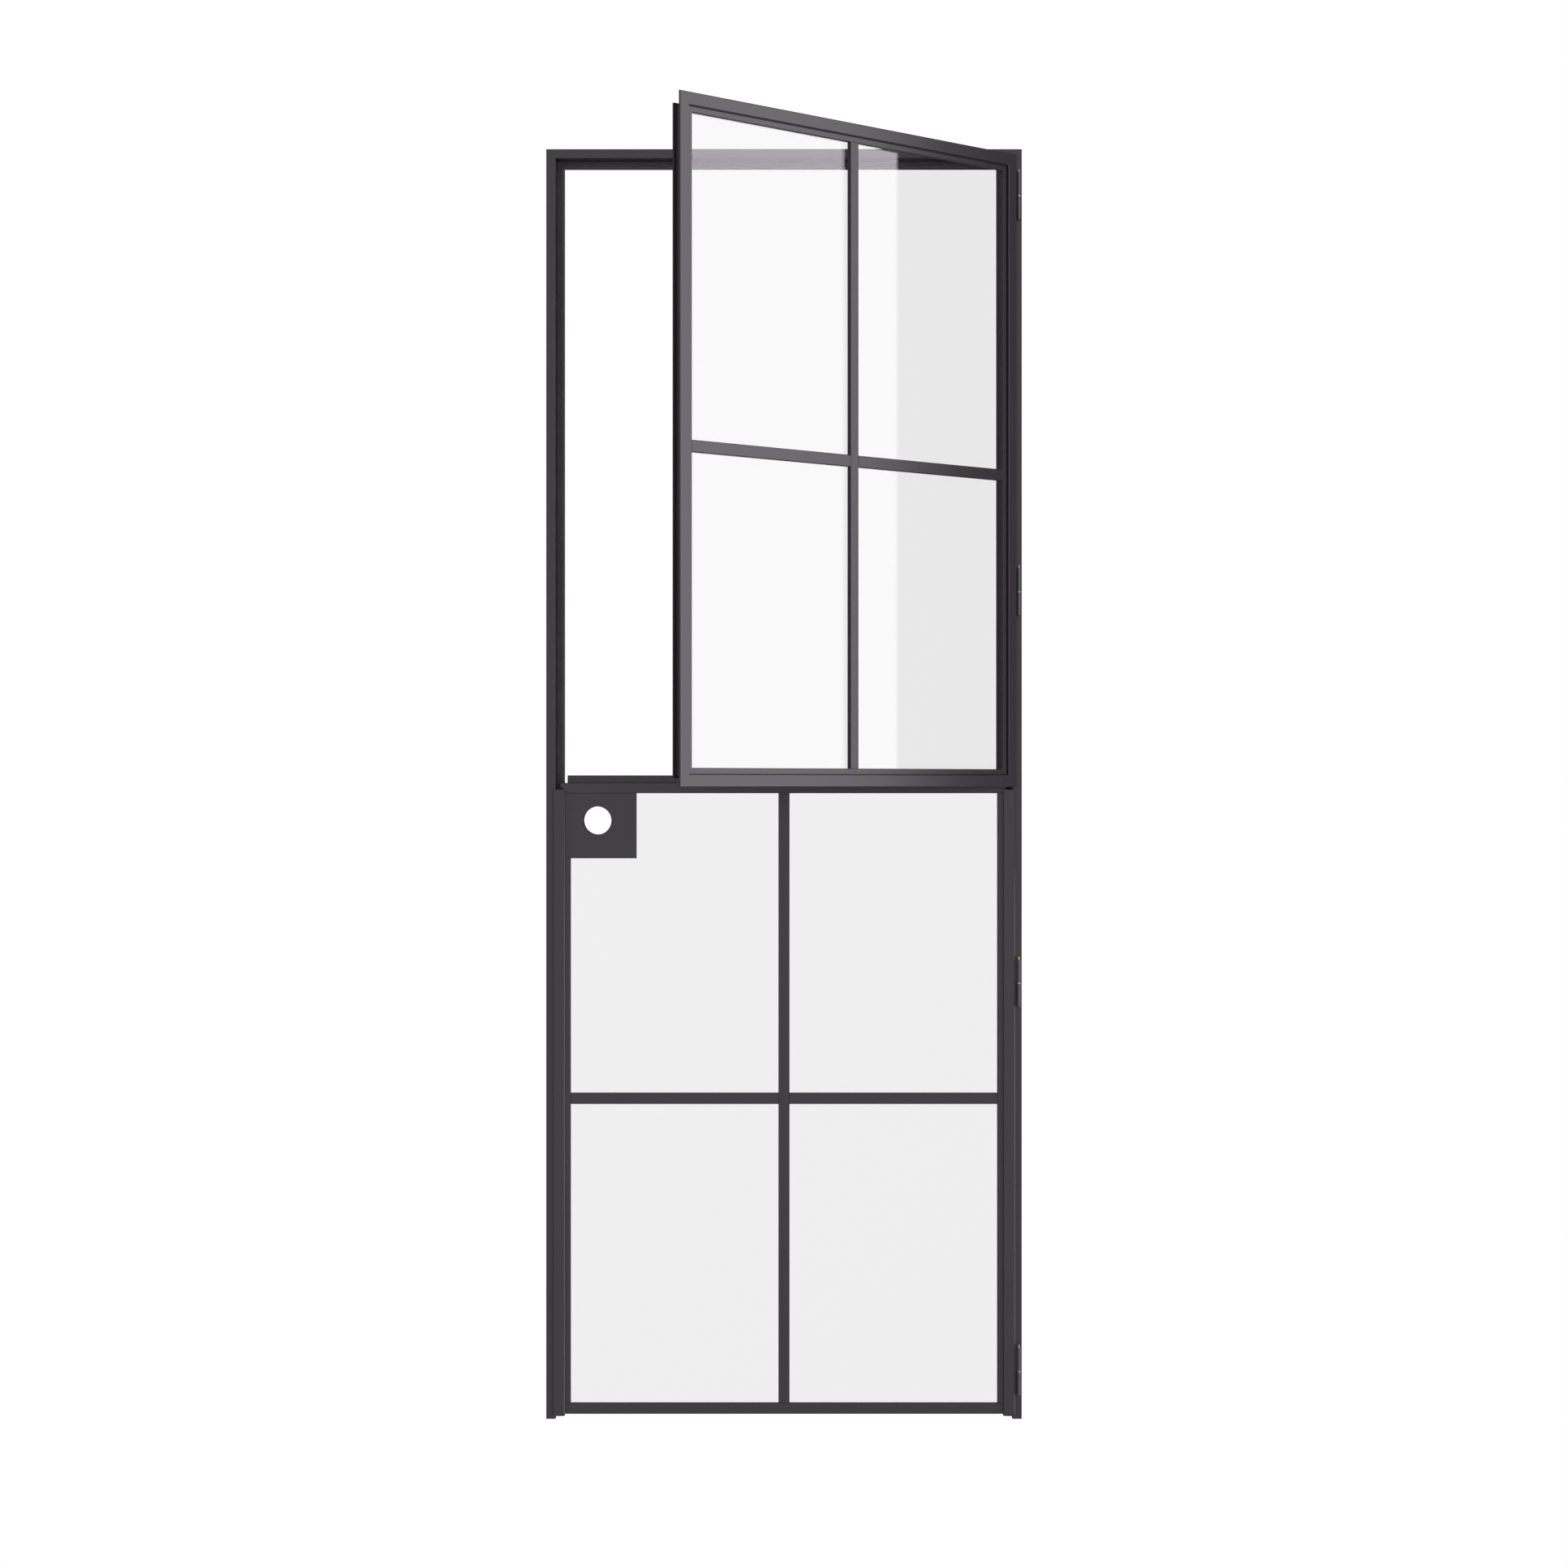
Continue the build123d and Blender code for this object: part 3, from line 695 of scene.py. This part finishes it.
class DUTCHDOOR_OT_stage(bpy.types.Operator):
    """Set up the white floor, the soft light and the camera"""

    bl_idname = "dutchdoor.stage"
    bl_label = "Stage"

    def execute(self, context):
        scene = context.scene
        studio = scene.dutch_door_studio
        mesh = bpy.data.meshes.new("studio_floor")
        near, far = -FLOOR_REACH, FLOOR_REACH
        corners = [(near, near, 0), (far, near, 0), (far, far, 0), (near, far, 0)]
        mesh.from_pydata(corners, [], [(0, 1, 2, 3)])
        mesh.materials.append(white_floor())
        floor = add_object("studio_floor", mesh)
        # The floor hides nothing from reflections and shadows, so the lower panel, which reaches
        # under it, stands in for its own reflection in the floor.
        floor.visible_glossy = False
        floor.visible_diffuse = False
        floor.visible_shadow = False

        scene.world = studio_surroundings(studio)
        for name, panel in SIDE_PANELS.items():
            side_panel(name, studio.side_light, **panel)
        tube = side_panel("side_tube_light", studio.tube_light, **TUBE_LIGHT)
        glass = bpy.data.collections.new("lit_by_tube")
        for node in ("upper_glass", "lower_glass"):
            glass.objects.link(frame["nodes"][node])
        tube.light_linking.receiver_collection = glass

        camera_data = bpy.data.cameras.new("camera")
        camera_data.sensor_width = SENSOR_WIDTH
        camera_data.lens = studio.lens
        camera = bpy.data.objects.new("camera", camera_data)
        camera.location = (DOOR_CENTRE, FRAME_FRONT - studio.distance, studio.height)
        # Level, and square to the frame.
        camera.rotation_euler = (math.pi / 2, 0, 0)
        scene.collection.objects.link(camera)
        scene.camera = camera
        scene.view_settings.view_transform = "Standard"
        return {"FINISHED"}


OPERATORS = (
    DUTCHDOOR_OT_powder_coat,
    DUTCHDOOR_OT_glass,
    DUTCHDOOR_OT_seals,
    DUTCHDOOR_OT_hinge_metal,
    DUTCHDOOR_OT_stage,
)

GROUPS = {
    "dutch_door_finishes": DutchDoorFinishes,
    "dutch_door_seals": DutchDoorSeals,
    "dutch_door_hinges": DutchDoorHinges,
    "dutch_door_studio": DutchDoorStudio,
}


class DUTCHDOOR_PT_panel(bpy.types.Panel):
    """Lists the steps that dress the door, each with its sizes and colours"""

    bl_idname = "DUTCHDOOR_PT_panel"
    bl_label = "Dutch door"
    bl_space_type = "VIEW_3D"
    bl_region_type = "UI"
    bl_category = "Dutch door"

    def draw(self, context):
        for operator in OPERATORS:
            self.layout.operator(operator.bl_idname)
        for name, group in GROUPS.items():
            box = self.layout.box()
            for setting in group.__annotations__:
                box.prop(getattr(context.scene, name), setting)


def register():
    for item in (*GROUPS.values(), *OPERATORS, DUTCHDOOR_PT_panel):
        bpy.utils.register_class(item)
    for name, group in GROUPS.items():
        setattr(bpy.types.Scene, name, bpy.props.PointerProperty(type=group))


def unregister():
    for name in GROUPS:
        delattr(bpy.types.Scene, name)
    for item in reversed((*GROUPS.values(), *OPERATORS, DUTCHDOOR_PT_panel)):
        bpy.utils.unregister_class(item)


def main():
    """Dress the door step by step."""
    register()
    bpy.ops.dutchdoor.powder_coat()
    bpy.ops.dutchdoor.glass()
    bpy.ops.dutchdoor.seals()
    bpy.ops.dutchdoor.hinge_metal()
    bpy.ops.dutchdoor.stage()


if __name__ == "__main__":
    main()
